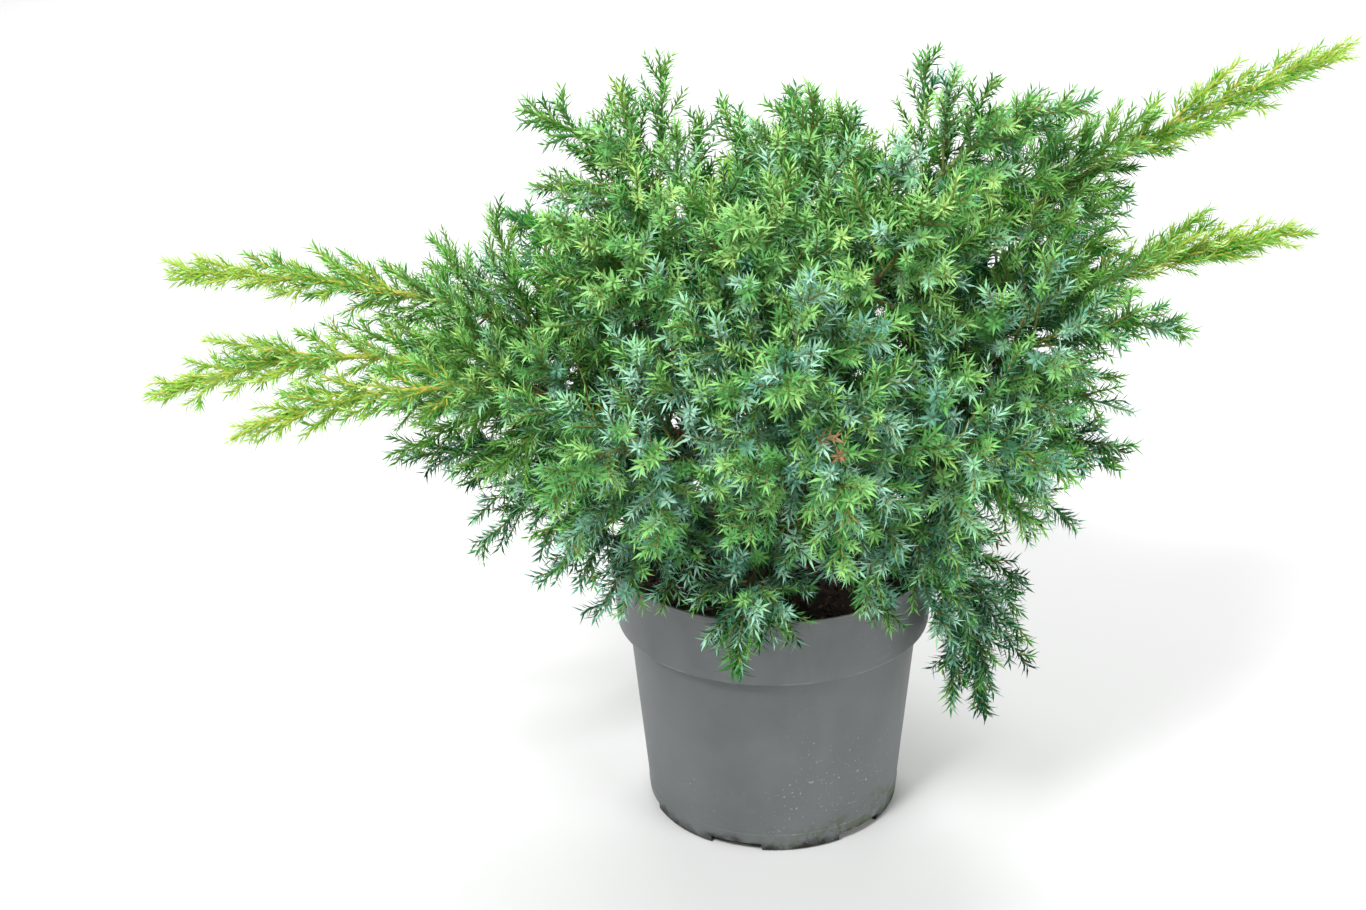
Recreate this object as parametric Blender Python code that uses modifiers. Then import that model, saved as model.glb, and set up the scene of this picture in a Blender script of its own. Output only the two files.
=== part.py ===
"""A potted blue flaky juniper: a low spreading conifer in a grey nursery pot.

Metres, +Z up. The origin is the middle of the pot's flat underside, the front is -Y and the right is +X.
The pot, its soil, the short trunk, every bough and every mass of foliage is one closed solid of its own.
"""

import math
import random
from collections import namedtuple

import bmesh
import bpy
import numpy as np
from mathutils import Matrix, Vector
from mathutils.bvhtree import BVHTree

# Pot
POT_HEIGHT = 0.155
RIM_RADIUS = 0.0925
BAND_HEIGHT = 0.040
BAND_FOOT_RADIUS = 0.0897
BODY_TOP_RADIUS = 0.0830
FOOT_RADIUS = 0.0727
WALL = 0.0013
EDGE_ROUND = 0.0016
POT_STEPS = 42
NOTCHES = 6
NOTCH_WIDTH = 0.030
NOTCH_HEIGHT = 0.0045
FIRST_NOTCH_AZIMUTH = 253.0

# Soil
GROUND = 0.141
SOIL_SAG = 0.004
SOIL_STEPS = 20

# Every touching pair of solids keeps this much air
GAP = 0.0003

# Trunk
TRUNK_TOP = 0.262
TRUNK_LEAN = 0.009
FLARE_RADIUS = 0.0145
TRUNK_RADIUS = 0.0092
TRUNK_TIP_RADIUS = 0.0036
FLARE_HEIGHT = 0.022
TRUNK_SIDES = 12

# Limbs, from the trunk's surface to the tip of the mass that each one carries
PATH_STEPS = 48
BOUGH_POINTS = 5
BOUGH_RADIUS = 0.0032
BOUGH_TIP_RADIUS = 0.0024
STEM_RADIUS = 0.0023
STEM_TIP_RADIUS = 0.0012

# Shoots: a spray of needles on its twig
BARE = 0.004
TIP_NEEDLE = 0.005
NEEDLE_RADIUS = 0.0095
NEEDLE_LEAN = 0.0080
LEADER_NEEDLE = 0.0088
LEADER_CROSSINGS = 8
WHORL_STEP = 0.0126
ROOT_RADIUS = 0.0009
TWIG_RADIUS = 0.0022
TWIG_TAPER = 0.6
ROOT_DEPTH = 0.006
WHORL_TWIST = math.radians(25)
GOLDEN_ANGLE = math.radians(137.5)
GOLDEN_SHARE = 0.618
OUTERMOST = 0.90
SHOOT_TRIES = 24
MASS_CLEARANCE = 0.0014

# The stem and core of each mass
HEART_SIDES = 5
CORE_SWELL = (0.46, 0.84, 1.0, 0.74)
CORE_STEP = 0.002
CORE_CLEARANCE = 0.0022

# leave: height on the trunk. rise, end: angle above level where the limb leaves and where it ends.
# pull: how far the limb keeps to each of these, as a share of its span. bare: share of it that is bare bough.
# twig: length of the shoots outside the core. shoots: how many. spread: least angle between them and the limb.
# core: the most that a core swells to, and core_end: where it ends.
Tier = namedtuple("Tier", "leave rise end pull bare twig shoots spread core core_end")
TIERS = {
    "low": Tier(0.160, 12, -32, 0.38, 0.36, 0.028, 8, 40, 0.030, 0.74),
    "mid": Tier(0.187, 30, 4, 0.38, 0.30, 0.030, 8, 40, 0.035, 0.72),
    "long": Tier(0.199, 36, 0, 0.38, 0.26, 0.038, 9, 40, 0.030, 0.52),
    "top": Tier(0.226, 60, 34, 0.38, 0.26, 0.029, 8, 40, 0.033, 0.74),
}

# tier, azimuth in degrees from +X, reach and height of the tip, and what departs from the tier
Limb = namedtuple("Limb", "tier azimuth reach height change")
LIMBS = {
    "low_front": Limb("low", 262, 0.132, 0.148, {"rise": 34, "end": -62, "leave": 0.168, "core": 0.017}),
    "low_front_right": Limb("low", 304, 0.166, 0.206, {"rise": 16, "end": -40}),
    "hanging_right": Limb(
        "low",
        343,
        0.125,
        0.070,
        {"rise": 46, "end": -80, "pull": 0.66, "bare": 0.36, "shoots": 11, "core": 0.036},
    ),
    "low_right": Limb("low", 338, 0.196, 0.244, {"rise": 24, "end": -12, "leave": 0.178, "core": 0.032}),
    "low_back_right": Limb("low", 44, 0.172, 0.180, {"core": 0.034}),
    "low_back_left": Limb("low", 128, 0.180, 0.190, {"core": 0.036}),
    "low_left": Limb("low", 188, 0.196, 0.222, {"rise": 20, "end": -12, "leave": 0.170}),
    "low_front_left": Limb("low", 226, 0.166, 0.218, {"rise": 18, "end": -22}),
    "left_front": Limb("long", 203, 0.285, 0.270, {"end": -16}),
    "left": Limb("long", 190, 0.328, 0.268, {"end": -20, "pull": 0.40, "leave": 0.181}),
    "left_back": Limb("long", 180, 0.322, 0.318, {"leave": 0.212}),
    "right": Limb("long", 353, 0.274, 0.350, {"end": 8, "leave": 0.206}),
    "back": Limb("long", 96, 0.262, 0.315, {"end": -4, "leave": 0.206}),
    "upper_right": Limb("long", 5, 0.303, 0.432, {"rise": 52, "end": 20, "leave": 0.228}),
    "front_left": Limb("mid", 240, 0.205, 0.262, {"end": -24, "core": 0.038}),
    "front": Limb("mid", 280, 0.202, 0.262, {"end": -24, "leave": 0.195, "core": 0.038}),
    "front_right": Limb("mid", 314, 0.206, 0.262, {"end": -14}),
    "front_upper": Limb("mid", 272, 0.186, 0.320, {"rise": 42, "end": 2, "leave": 0.212, "core": 0.040}),
    "right_front": Limb("mid", 335, 0.226, 0.318, {"end": -4, "leave": 0.196}),
    "right_back": Limb("mid", 24, 0.224, 0.336, {"leave": 0.196}),
    "back_right": Limb("mid", 62, 0.232, 0.300, {}),
    "back_left": Limb("mid", 134, 0.240, 0.304, {"leave": 0.192}),
    "top_left": Limb("top", 168, 0.136, 0.400, {"rise": 66, "end": 16, "leave": 0.234, "core": 0.036}),
    "top_front_left": Limb("top", 212, 0.132, 0.368, {}),
    "top_front": Limb("top", 262, 0.110, 0.378, {"leave": 0.240}),
    "top_front_right": Limb("top", 312, 0.138, 0.388, {"leave": 0.226}),
    "top_right": Limb("top", 352, 0.162, 0.416, {"rise": 68, "end": 12, "leave": 0.240}),
    "top_back": Limb("top", 84, 0.116, 0.390, {}),
    "leader": Limb("top", 350, 0.022, 0.416, {"bare": 0.0, "end": 86}),
}

# Colours, as in the photograph
POT_GREY = (0.13, 0.145, 0.155)
SOIL_BROWN = (0.045, 0.024, 0.012)
BARK_BROWN = (0.16, 0.085, 0.04)
NEEDLE_GREEN = (0.10, 0.22, 0.11)


def clear_scene():
    for obj in list(bpy.data.objects):
        bpy.data.objects.remove(obj, do_unlink=True)


def new_collection(name, parent, hidden=False):
    made = bpy.data.collections.new(name)
    made.hide_render = hidden
    parent.children.link(made)
    return made


def new_material(name, colour, roughness):
    material = bpy.data.materials.new(name)
    material.use_nodes = True
    shader = material.node_tree.nodes["Principled BSDF"]
    shader.inputs["Base Color"].default_value = (*colour, 1.0)
    shader.inputs["Roughness"].default_value = roughness
    shader.inputs["Metallic"].default_value = 0.0
    return material


def add_object(name, mesh, collection, material):
    obj = bpy.data.objects.new(name, mesh)
    if material:
        mesh.materials.append(material)
    collection.objects.link(obj)
    return obj


def turned(name, profile, steps, collection, material):
    """A profile of (radius, height) points, turned about +Z: up the inner side, then down the outer one."""
    mesh = bpy.data.meshes.new(name)
    points = [(radius, 0.0, height) for radius, height in profile]
    mesh.from_pydata(points, [(i, i + 1) for i in range(len(points) - 1)], [])
    obj = add_object(name, mesh, collection, material)
    screw = obj.modifiers.new("Turn", "SCREW")
    screw.axis = "Z"
    screw.steps = screw.render_steps = steps
    screw.use_merge_vertices = True
    screw.merge_threshold = 0.00002
    screw.use_smooth_shade = True
    return obj


def body_radius(height):
    """Outer radius of the pot below its band."""
    return FOOT_RADIUS + (BODY_TOP_RADIUS - FOOT_RADIUS) * height / (POT_HEIGHT - BAND_HEIGHT)


def band_radius(height):
    """Outer radius of the pot's band."""
    above = height - (POT_HEIGHT - BAND_HEIGHT)
    return BAND_FOOT_RADIUS + (RIM_RADIUS - BAND_FOOT_RADIUS) * above / BAND_HEIGHT


def make_pot(collection, cutters, material):
    shoulder = POT_HEIGHT - BAND_HEIGHT
    rounding = EDGE_ROUND
    half = WALL / 2
    profile = [
        (0.0, WALL),
        (body_radius(WALL) - WALL - rounding, WALL),
        (body_radius(WALL + rounding) - WALL, WALL + rounding),
        (body_radius(shoulder) - WALL, shoulder),
        (band_radius(shoulder) - WALL - rounding, shoulder + WALL),
        (band_radius(shoulder) - WALL, shoulder + WALL + rounding),
        (band_radius(POT_HEIGHT) - WALL, POT_HEIGHT - half),
        (band_radius(POT_HEIGHT) - half, POT_HEIGHT),
        (band_radius(POT_HEIGHT), POT_HEIGHT - half),
        (band_radius(shoulder), shoulder + rounding),
        (band_radius(shoulder) - rounding, shoulder),
        (body_radius(shoulder), shoulder - rounding),
        (body_radius(rounding), rounding),
        (body_radius(0.0) - rounding, 0.0),
        (0.0, 0.0),
    ]
    pot = turned("pot", profile, POT_STEPS, collection, material)
    notches = make_notch_cutter(cutters)
    cut = pot.modifiers.new("Drainage notches", "BOOLEAN")
    cut.operation = "DIFFERENCE"
    cut.object = notches
    return pot


def make_notch_cutter(cutters):
    """The blocks that cut the drainage notches through the corner of wall and floor."""
    depth = 0.014
    below = 0.004
    cutter = bmesh.new()
    for number in range(NOTCHES):
        azimuth = math.radians(FIRST_NOTCH_AZIMUTH + 360.0 * number / NOTCHES)
        made = bmesh.ops.create_cube(cutter, size=1.0)["verts"]
        bmesh.ops.scale(cutter, verts=made, vec=(depth, NOTCH_WIDTH, NOTCH_HEIGHT + below))
        bmesh.ops.translate(cutter, verts=made, vec=(FOOT_RADIUS, 0.0, (NOTCH_HEIGHT - below) / 2))
        bmesh.ops.rotate(cutter, verts=made, cent=(0, 0, 0), matrix=Matrix.Rotation(azimuth, 3, "Z"))
    mesh = bpy.data.meshes.new("notch_cutter")
    cutter.to_mesh(mesh)
    cutter.free()
    obj = add_object("notch_cutter", mesh, cutters, None)
    obj.hide_render = True
    obj.display_type = "WIRE"
    return obj


def make_soil(collection, material):
    """Potting soil that fills the pot to below its rim, clear of the walls, the floor and the notches."""
    shoulder = POT_HEIGHT - BAND_HEIGHT
    clear = WALL + 2 * GAP
    notch_top = NOTCH_HEIGHT + GAP
    inside_notch = FOOT_RADIUS - 0.014 / 2 - GAP
    lift = 2 * GAP
    edge = GROUND - SOIL_SAG
    level = 0.030
    profile = [
        (0.0, GROUND),
        (level, GROUND),
        (band_radius(edge) - clear, edge),
        (band_radius(shoulder + WALL) - clear - EDGE_ROUND, shoulder + WALL + EDGE_ROUND + lift),
        (body_radius(shoulder) - clear, shoulder + lift),
        (body_radius(notch_top) - clear, notch_top),
        (inside_notch, notch_top),
        (inside_notch, WALL + GAP),
        (0.0, WALL + GAP),
    ]
    return turned("soil", profile, SOIL_STEPS, collection, material)


def trunk_radius(height):
    """Radius of the trunk, with its root flare at the ground."""
    share = (height - GROUND) / (TRUNK_TOP - GROUND)
    straight = TRUNK_RADIUS + (TRUNK_TIP_RADIUS - TRUNK_RADIUS) * share
    flare = max(0.0, 1.0 - (height - GROUND) / FLARE_HEIGHT)
    return straight + (FLARE_RADIUS - TRUNK_RADIUS) * flare * flare


def trunk_axis(height):
    """The trunk leans to the right and bends back towards its tip."""
    share = (height - GROUND) / (TRUNK_TOP - GROUND)
    return Vector((TRUNK_LEAN * math.sin(share * math.pi / 2), -0.3 * TRUNK_LEAN * share, height))


def tube(name, points, radii, sides_level, collection, material):
    """A tapering limb through the points: a round poly curve with filled caps, made a closed mesh."""
    curve = bpy.data.curves.new(name, "CURVE")
    curve.dimensions = "3D"
    curve.bevel_depth = 1.0
    curve.bevel_resolution = sides_level
    curve.use_fill_caps = True
    spline = curve.splines.new("POLY")
    spline.points.add(len(points) - 1)
    for target, point, radius in zip(spline.points, points, radii):
        target.co = (*point, 1.0)
        target.radius = radius
    guide = bpy.data.objects.new(name + "_guide", curve)
    collection.objects.link(guide)
    graph = bpy.context.evaluated_depsgraph_get()
    mesh = bpy.data.meshes.new_from_object(guide.evaluated_get(graph))
    bpy.data.objects.remove(guide, do_unlink=True)
    mesh.name = name
    closed = bmesh.new()
    closed.from_mesh(mesh)
    bmesh.ops.remove_doubles(closed, verts=closed.verts, dist=0.00001)
    bmesh.ops.recalc_face_normals(closed, faces=closed.faces)
    closed.to_mesh(mesh)
    closed.free()
    mesh.shade_smooth()
    mesh.materials.clear()
    return add_object(name, mesh, collection, material)


def highest(mesh):
    return max(mesh.faces, key=lambda face: face.calc_center_median().z)


def lowest(mesh):
    return min(mesh.faces, key=lambda face: face.calc_center_median().z)


def extend(mesh, top, step, turn, ratio):
    """Extrudes the top face by a step, turned and scaled. It returns the new top and the sides below it."""
    face = bmesh.ops.extrude_discrete_faces(mesh, faces=[top])["faces"][0]
    corners = face.verts[:]
    sides = list({f for corner in corners for f in corner.link_faces if f is not face})
    sides.sort(key=lambda f: f.index)
    centre = Matrix.Translation(-face.calc_center_median())
    bmesh.ops.scale(mesh, verts=corners, vec=(ratio, ratio, 1.0), space=centre)
    bmesh.ops.rotate(mesh, verts=corners, matrix=Matrix.Rotation(turn, 3, "Z"), space=centre)
    bmesh.ops.translate(mesh, verts=corners, vec=step)
    mesh.faces.index_update()
    return face, sides


def make_trunk(collection, material):
    """From its flat cut on the soil to its tip: level rings about the leaning axis."""
    shares = [0.0, 0.08, 0.20, 0.40, 0.60, 0.80, 1.0]
    foot = GROUND + GAP
    heights = [foot + (TRUNK_TOP - foot) * share for share in shares]
    trunk = bmesh.new()
    bmesh.ops.create_cone(
        trunk,
        cap_ends=True,
        segments=TRUNK_SIDES,
        radius1=trunk_radius(heights[0]),
        radius2=trunk_radius(heights[1]),
        depth=heights[1] - heights[0],
    )
    middle = Vector((0, 0, (heights[0] + heights[1]) / 2))
    bmesh.ops.translate(trunk, verts=trunk.verts, vec=middle)
    top = highest(trunk)
    for ring, height in ((top.verts[:], heights[1]), (lowest(trunk).verts[:], foot)):
        bmesh.ops.translate(trunk, verts=ring, vec=trunk_axis(height) - Vector((0, 0, height)))
    for low, high in zip(heights[1:], heights[2:]):
        lean = trunk_axis(high) - trunk_axis(low)
        top, _ = extend(trunk, top, lean, 0.0, trunk_radius(high) / trunk_radius(low))
    bmesh.ops.recalc_face_normals(trunk, faces=trunk.faces)
    mesh = bpy.data.meshes.new("trunk")
    trunk.to_mesh(mesh)
    trunk.free()
    mesh.shade_smooth()
    mesh.set_sharp_from_angle(angle=math.radians(40))
    return add_object("trunk", mesh, collection, material)


def heading(azimuth, rise):
    """Unit vector at this azimuth and this angle above level, both in degrees."""
    flat = math.cos(math.radians(rise))
    around = math.radians(azimuth)
    return Vector((flat * math.cos(around), flat * math.sin(around), math.sin(math.radians(rise))))


def settings_of(limb):
    return TIERS[limb.tier]._replace(**limb.change)


def cubic(start, away, tip, arrive, pull):
    """The cubic curve from start to tip that leaves along one direction and arrives along the other."""
    span = (tip - start).length
    bend = start + away * pull * span
    ease = tip - arrive * pull * span

    def path(share):
        left = 1.0 - share
        return (
            start * left**3
            + bend * (3 * left * left * share)
            + ease * (3 * left * share * share)
            + tip * share**3
        )

    return path


class Path:
    """A limb's centreline, called with a share of its length. Its frames keep one side level."""

    def __init__(self, curve, azimuth):
        self.points = [curve(i / PATH_STEPS) for i in range(PATH_STEPS + 1)]
        self.marks = [0.0]
        for a, b in zip(self.points, self.points[1:]):
            self.marks.append(self.marks[-1] + (b - a).length)
        self.length = self.marks[-1]
        self.level = heading(azimuth + 90.0, 0)

    def __call__(self, share):
        place = min(max(share, 0.0), 1.0) * self.length
        i = next(i for i in range(PATH_STEPS) if place <= self.marks[i + 1])
        between = (place - self.marks[i]) / (self.marks[i + 1] - self.marks[i])
        return self.points[i].lerp(self.points[i + 1], between)

    def frame(self, share):
        """Place, forward direction, level side and upper side at a share of the length."""
        near = min(max(share, 0.01), 0.99)
        forward = (self(near + 0.01) - self(near - 0.01)).normalized()
        side = (self.level - forward * self.level.dot(forward)).normalized()
        return self(share), forward, side, forward.cross(side)


def end_gap(path, form):
    """Least air between the trunk and the round end of the bough that starts this path."""
    centre = path(0.0)
    along = (path(form.bare / (BOUGH_POINTS - 1)) - centre).normalized()
    side = along.cross(Vector((0, 0, 1))).normalized()
    up = side.cross(along)
    gaps = []
    for number in range(12):
        angle = 2 * math.pi * number / 12
        rim = centre + (side * math.cos(angle) + up * math.sin(angle)) * BOUGH_RADIUS
        gaps.append((rim - trunk_axis(rim.z)).length - trunk_radius(rim.z))
    return min(gaps)


def limb_path(limb):
    """The limb's centreline, from the trunk's surface to the tip."""
    form = settings_of(limb)
    tip = heading(limb.azimuth, 0) * limb.reach
    tip.z = limb.height
    arrive = heading(limb.azimuth, form.end)
    if form.bare == 0.0:
        start = trunk_axis(TRUNK_TOP) + Vector((0, 0, GAP))
        return Path(cubic(start, Vector((0, 0, 1)), tip, arrive, form.pull), limb.azimuth)
    away = heading(limb.azimuth, form.rise)
    clear = trunk_radius(form.leave) + GAP
    for _ in range(4):
        start = trunk_axis(form.leave) + heading(limb.azimuth, 0) * clear
        path = Path(cubic(start, away, tip, arrive, form.pull), limb.azimuth)
        clear += GAP - end_gap(path, form)
    return path


def stations(path, first, last, count):
    return [path(first + (last - first) * i / (count - 1)) for i in range(count)]


def taper(first, last, count):
    return [first + (last - first) * i / (count - 1) for i in range(count)]


class Spine:
    """A polyline in numpy form, for measuring how far points lie from it."""

    def __init__(self, points, radius):
        ends = np.array([tuple(p) for p in points])
        self.starts = ends[:-1]
        self.runs = ends[1:] - ends[:-1]
        self.squared = np.maximum((self.runs**2).sum(1), 1e-12)
        self.radius = radius

    def distance(self, places):
        offset = places[:, None, :] - self.starts[None]
        share = np.clip((offset * self.runs[None]).sum(2) / self.squared[None], 0.0, 1.0)
        return np.linalg.norm(offset - share[..., None] * self.runs[None], axis=2).min(1)


def in_pot(places, near):
    """True where a point is in the pot or the soil, or nearer to them than this."""
    radius = np.hypot(places[:, 0], places[:, 1])
    within_rim = (radius < RIM_RADIUS + near) & (places[:, 2] < GROUND + near)
    wall = (np.abs(radius - RIM_RADIUS + WALL) < WALL + near) & (places[:, 2] < POT_HEIGHT + near)
    return within_rim | wall


def prism(sides, levels):
    """A unit prism along +Z with a ring of corners at each whole height, for bending into shape."""
    made = bmesh.new()
    bmesh.ops.create_cone(made, cap_ends=True, segments=sides, radius1=1.0, radius2=1.0, depth=1.0)
    bmesh.ops.translate(made, verts=made.verts, vec=(0, 0, 0.5))
    top = highest(made)
    for _ in range(levels - 2):
        top, _ = extend(made, top, Vector((0, 0, 1)), 0.0, 1.0)
    return made


def make_spray(name, rooted, length, whorls, needle):
    """A shoot along +Z: a slim three-sided twig, bare at its root, that rings of needles stand out of."""
    bare = rooted + BARE
    step = (length - bare - TIP_NEEDLE) / whorls
    ratio = TWIG_TAPER ** (1.0 / whorls)
    spray = bmesh.new()
    bmesh.ops.create_cone(
        spray, cap_ends=True, segments=3, radius1=ROOT_RADIUS, radius2=TWIG_RADIUS, depth=bare
    )
    bmesh.ops.translate(spray, verts=spray.verts, vec=(0, 0, bare / 2))
    top = highest(spray)
    for number in range(whorls):
        height = bare + step * (number + 0.5)
        top, sides = extend(spray, top, Vector((0, 0, step)), WHORL_TWIST, ratio)
        reach = needle * (1.0 - 0.35 * number / whorls)
        for tip in bmesh.ops.poke(spray, faces=sides)["verts"]:
            outward = Vector((tip.co.x, tip.co.y, 0.0)).normalized()
            tip.co = outward * reach + Vector((0, 0, height + NEEDLE_LEAN))
    for tip in bmesh.ops.poke(spray, faces=[top])["verts"]:
        tip.co = Vector((0, 0, length))
    bmesh.ops.triangulate(spray, faces=spray.faces)
    bmesh.ops.recalc_face_normals(spray, faces=spray.faces)
    mesh = bpy.data.meshes.new(name)
    spray.to_mesh(mesh)
    spray.free()
    return mesh


def make_leader(name, path, start):
    """The shoot at a mass's tip, bent along the path from a share of it to its end."""
    whole = path.length
    length = (1.0 - start) * whole
    mesh = make_spray(name, 0.0, length, round(length / WHORL_STEP), LEADER_NEEDLE)
    for vert in mesh.vertices:
        share = min(start + vert.co.z / whole, 0.99)
        here, forward, side, up = path.frame(share)
        beyond = vert.co.z - (share - start) * whole
        vert.co = here + side * vert.co.x + up * vert.co.y + forward * beyond
    return mesh


def placing(root, direction, turn):
    """Matrix that stands a spray on its root, along the direction, turned about itself."""
    stand = direction.to_track_quat("Z", "Y").to_matrix().to_4x4()
    return Matrix.Translation(root) @ stand @ Matrix.Rotation(turn, 4, "Z")


def largest_body(mesh):
    """Keeps the body with the most volume: a sealed hollow is filled, and a loose scrap goes."""
    work = bmesh.new()
    work.from_mesh(mesh)
    unseen = set(work.faces)
    bodies = []
    while unseen:
        front = [unseen.pop()]
        body = list(front)
        while front:
            for edge in front.pop().edges:
                for face in edge.link_faces:
                    if face in unseen:
                        unseen.remove(face)
                        front.append(face)
                        body.append(face)
        bodies.append(body)

    def volume(body):
        total = 0.0
        for face in body:
            first = face.verts[0].co
            for a, b in zip(face.verts[1:], face.verts[2:]):
                total += first.dot(a.co.cross(b.co))
        return total

    best = max(bodies, key=volume)
    gone = [face for body in bodies if body is not best for face in body]
    if gone:
        bmesh.ops.delete(work, geom=gone, context="FACES")
        loose = [v for v in work.verts if not v.link_faces]
        bmesh.ops.delete(work, geom=loose, context="VERTS")
    bmesh.ops.triangulate(work, faces=work.faces)
    work.to_mesh(mesh)
    work.free()


def fuse(stem, pieces):
    """Joins the stem with everything in the collection into one closed body, then removes the collection."""
    union = stem.modifiers.new("Fuse", "BOOLEAN")
    union.operation = "UNION"
    union.operand_type = "COLLECTION"
    union.collection = pieces
    union.solver = "MANIFOLD"
    graph = bpy.context.evaluated_depsgraph_get()
    mesh = bpy.data.meshes.new_from_object(stem.evaluated_get(graph))
    stem.modifiers.remove(union)
    largest_body(mesh)
    material = stem.data.materials[0]
    stem.data = mesh
    mesh.materials.clear()
    mesh.materials.append(material)
    for obj in list(pieces.objects):
        bpy.data.objects.remove(obj, do_unlink=True)
    bpy.data.collections.remove(pieces)


def free_reach(here, out, most, space):
    """How far a core may swell this way: short of the next mass's space, the limbs and the pot."""
    steps = np.arange(CORE_STEP, most, CORE_STEP)
    if not len(steps):
        return most
    places = np.array(tuple(here))[None] + steps[:, None] * np.array(tuple(out))[None]
    blocked = np.nonzero(~space.clear(places, CORE_CLEARANCE))[0]
    return max(steps[blocked[0]] - CORE_STEP, STEM_RADIUS) if len(blocked) else most


class Space:
    """What a mass may fill: all that is nearer to its own stem than to any other, clear of limbs and pot."""

    def __init__(self, own, others, limbs):
        self.own = own
        self.others = others
        self.limbs = limbs

    def clear(self, places, room):
        """For each place, whether it keeps this much room to the next space, to the limbs and to the pot."""
        good = ~in_pot(places, room)
        nearest = self.own.distance(places)
        for other in self.others:
            good &= other.distance(places) - nearest > room
        for limb in self.limbs:
            good &= limb.distance(places) > limb.radius + room
        return good


def make_heart(name, path, form, first, space):
    """A mass's stem and core in one body: a prism bent along the path, swelled where the mass is dense."""
    heart = prism(HEART_SIDES, len(CORE_SWELL) + 3)
    inner = first + 0.02
    step = (form.core_end - inner) / (len(CORE_SWELL) - 0.5)
    core = [inner + step * (i + 0.5) for i in range(len(CORE_SWELL))]
    shares = [first, inner, *core, form.core_end + 0.02]
    swell = [0.0, 0.0, *CORE_SWELL, 0.0]
    thick = taper(STEM_RADIUS, STEM_TIP_RADIUS, len(shares))
    rng = random.Random(name)
    for vert in heart.verts:
        level = round(vert.co.z)
        here, _, side, up = path.frame(shares[level])
        out = side * vert.co.x + up * vert.co.y
        most = form.core * swell[level] * rng.uniform(0.76, 1.12)
        radius = max(thick[level], free_reach(here, out, most, space)) if most else thick[level]
        vert.co = here + out * radius
    bmesh.ops.triangulate(heart, faces=heart.faces)
    bmesh.ops.recalc_face_normals(heart, faces=heart.faces)
    surface = BVHTree.FromBMesh(heart)
    mesh = bpy.data.meshes.new(name)
    heart.to_mesh(mesh)
    heart.free()
    return mesh, surface


def shoot_plan(path, form, first, rng):
    """Yields the share along the limb, the direction and the length of each side shoot, in a spiral."""
    turn = rng.uniform(0, 2 * math.pi)
    inward = rng.uniform(0, 1)
    innermost = (first + form.core_end) / 2
    for _ in range(form.shoots * SHOOT_TRIES):
        inward = (inward + GOLDEN_SHARE) % 1.0
        turn += GOLDEN_ANGLE
        share = OUTERMOST - (OUTERMOST - innermost) * inward
        _, forward, side, up = path.frame(share)
        out = side * math.cos(turn) + up * math.sin(turn)
        spread = math.radians(form.spread + 24 * inward + rng.uniform(-6, 6))
        direction = forward * math.cos(spread) + out * math.sin(spread)
        yield share, direction.normalized(), form.twig * (0.55 + 0.45 * inward) * rng.uniform(0.8, 1.1)


def stem_start(path, form):
    """Share at which a mass's stem starts, so that its end clears the bough's end at any bend between them."""
    if form.bare == 0.0:
        return 0.0
    before = path(form.bare) - path(form.bare * (BOUGH_POINTS - 2) / (BOUGH_POINTS - 1))
    after = path(form.bare + 0.02) - path(form.bare)
    tilt = math.sin(before.angle(after) / 2) * (BOUGH_TIP_RADIUS + STEM_RADIUS)
    return form.bare + (GAP + tilt) / path.length


def make_mass(name, limb, space, collection, material):
    """One mass of foliage: a stem that carries on from the bough, a core where it is dense, and sprays."""
    form = settings_of(limb)
    path = limb_path(limb)
    first = stem_start(path, form)
    mesh, surface = make_heart(name, path, form, first, space)
    stem = add_object(name, mesh, collection, material)
    pieces = bpy.data.collections.new(name + "_pieces")
    bpy.context.scene.collection.children.link(pieces)
    leader = make_leader(name + "_leader", path, form.core_end - 0.01)
    add_object(leader.name, leader, pieces, None)
    leader_tree = tree_of(leader)
    rng = random.Random(sum(map(ord, name)))
    grown = []
    for share, direction, length in shoot_plan(path, form, first, rng):
        here = path(share)
        depth = depth_inside(surface, here, direction)
        rooted = min(ROOT_DEPTH, depth) if depth else LEADER_NEEDLE * 0.8
        start = here + direction * max(0.0, depth - rooted)
        whorls = max(2, round(length / WHORL_STEP))
        mesh = make_spray(name + "_spray", rooted, length + rooted, whorls, NEEDLE_RADIUS)
        needles = [face.index for face in mesh.polygons if face.center.z > rooted + BARE * 0.6]
        mesh.transform(placing(start, direction, rng.uniform(0, 6.3)))
        corners = {v for i in needles for v in mesh.polygons[i].vertices}
        places = [mesh.vertices[v].co for v in corners] + [mesh.polygons[i].center for i in needles]
        whole, outer = tree_of(mesh), tree_of(mesh, needles)
        crossed = len(outer.overlap(surface)) + sum(len(whole.overlap(other)) for other in grown)
        if (
            not crossed
            and len(whole.overlap(leader_tree)) <= LEADER_CROSSINGS
            and space.clear(np.array([tuple(place) for place in places]), MASS_CLEARANCE).all()
        ):
            add_object(f"{name}_spray_{len(grown)}", mesh, pieces, None)
            grown.append(whole)
        else:
            bpy.data.meshes.remove(mesh)
        if len(grown) == form.shoots:
            break
    bpy.context.view_layer.update()
    fuse(stem, pieces)
    print(name, len(grown), "sprays", len(stem.data.polygons), "triangles")
    return stem


def depth_inside(surface, here, direction):
    """How far a place lies under the core's surface, measured along a direction."""
    far = 0.2
    _, _, _, before = surface.ray_cast(here + direction * far, -direction, far)
    return 0.0 if before is None else far - before


def tree_of(mesh, faces=None):
    """Search tree of a mesh's faces, or of some of them."""
    chosen = mesh.polygons if faces is None else [mesh.polygons[i] for i in faces]
    return BVHTree.FromPolygons([v.co for v in mesh.vertices], [tuple(face.vertices) for face in chosen])


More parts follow.
